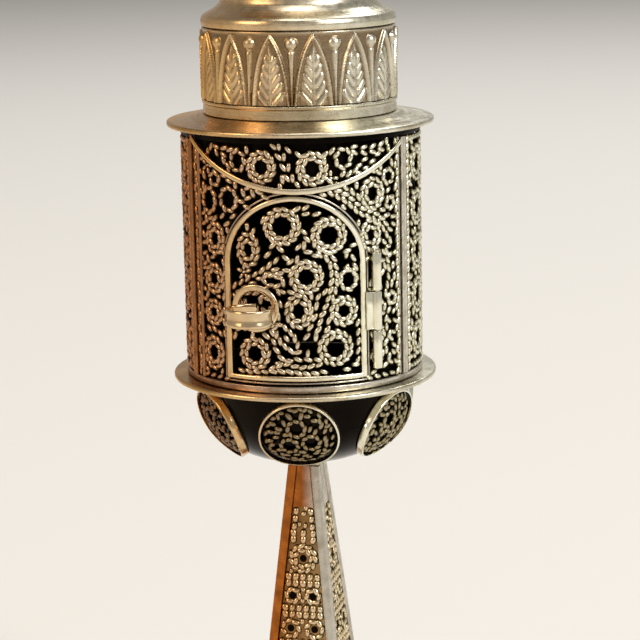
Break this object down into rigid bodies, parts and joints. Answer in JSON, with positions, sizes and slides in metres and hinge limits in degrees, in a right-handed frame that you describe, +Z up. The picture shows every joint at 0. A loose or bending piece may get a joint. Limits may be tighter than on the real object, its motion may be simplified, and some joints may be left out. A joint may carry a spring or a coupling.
{
  "type": "spice tower",
  "caption": "Silver filigree spice tower with a pyramid stem, a round chamber with a hinged arched door, and a steeple with a pennant.",
  "frame": {"origin": "centre of the underside of the square foot, on the surface that the tower stands on", "axes": "+Z up along the tower's axis, -Y towards the front of the door, +X to the right of the door where its hinge is"},
  "size_m": [0.0644, 0.0644, 0.2534],
  "materials": {
    "polished_silver": "polished sheet silver with fine scratches and a warm patina",
    "plain_silver_strip": "plain drawn silver strip and wire, worn bright on its edges",
    "filigree_silver": "twisted silver wire with brown and slightly green patina in the recesses",
    "dark_bowl_silver": "smooth sheet silver blackened by tarnish"
  },
  "bodies": {
    "tower": {"base_plate": "polished_silver", "base_plinth": "polished_silver", "stem_cap_stud": "plain_silver_strip", "stem_nut": "plain_silver_strip", "stem_strip_front": "plain_silver_strip", "stem_strip_right": "plain_silver_strip", "stem_strip_back": "plain_silver_strip", "stem_strip_left": "plain_silver_strip", "stem_panel_front": "filigree_silver", "stem_panel_right": "filigree_silver", "stem_panel_back": "filigree_silver", "stem_panel_left": "filigree_silver", "bowl": "dark_bowl_silver", "roundel_frame_1": "plain_silver_strip", "roundel_filigree_1": "filigree_silver", "roundel_frame_2": "plain_silver_strip", "roundel_filigree_2": "filigree_silver", "roundel_frame_3": "plain_silver_strip", "roundel_filigree_3": "filigree_silver", "roundel_frame_4": "plain_silver_strip", "roundel_filigree_4": "filigree_silver", "roundel_frame_5": "plain_silver_strip", "roundel_filigree_5": "filigree_silver", "roundel_frame_6": "plain_silver_strip", "roundel_filigree_6": "filigree_silver", "lower_flange": "polished_silver", "upper_flange": "polished_silver", "drum_ring_bottom": "plain_silver_strip", "drum_ring_top": "plain_silver_strip", "chamber_lining": "dark_bowl_silver", "drum_panel_front": "filigree_silver", "drum_panel_right": "filigree_silver", "drum_panel_back_right": "filigree_silver", "drum_panel_back_left": "filigree_silver", "drum_panel_left": "filigree_silver", "drum_post_right": "plain_silver_strip", "drum_post_back_right": "plain_silver_strip", "drum_post_back": "plain_silver_strip", "drum_post_back_left": "plain_silver_strip", "drum_post_left": "plain_silver_strip", "swag_arc": "plain_silver_strip", "hinge_knuckle_bottom": "plain_silver_strip", "hinge_knuckle_top": "plain_silver_strip", "hinge_pin": "plain_silver_strip", "band_base_strip": "polished_silver", "leaf_band": "polished_silver", "steeple": "polished_silver", "finial_ball": "polished_silver", "finial_staff": "polished_silver"},
    "door": {"door_frame": "plain_silver_strip", "door_filigree": "filigree_silver", "door_knuckle": "plain_silver_strip", "pull_eye": "polished_silver", "pull_band": "polished_silver"},
    "pennant": {"pennant": "polished_silver"}
  },
  "joints": [
    {"name": "door_hinge", "type": "hinge", "parent": "tower", "child": "door", "pos_m": [0.01441, -0.01792, 0.12], "axis": [0, 0, 1], "range_deg": [0, 150]},
    {"name": "pennant_swivel", "type": "hinge", "parent": "tower", "child": "pennant", "pos_m": [0, 0, 0.245], "axis": [0, 0, 1], "continuous": true}
  ]
}
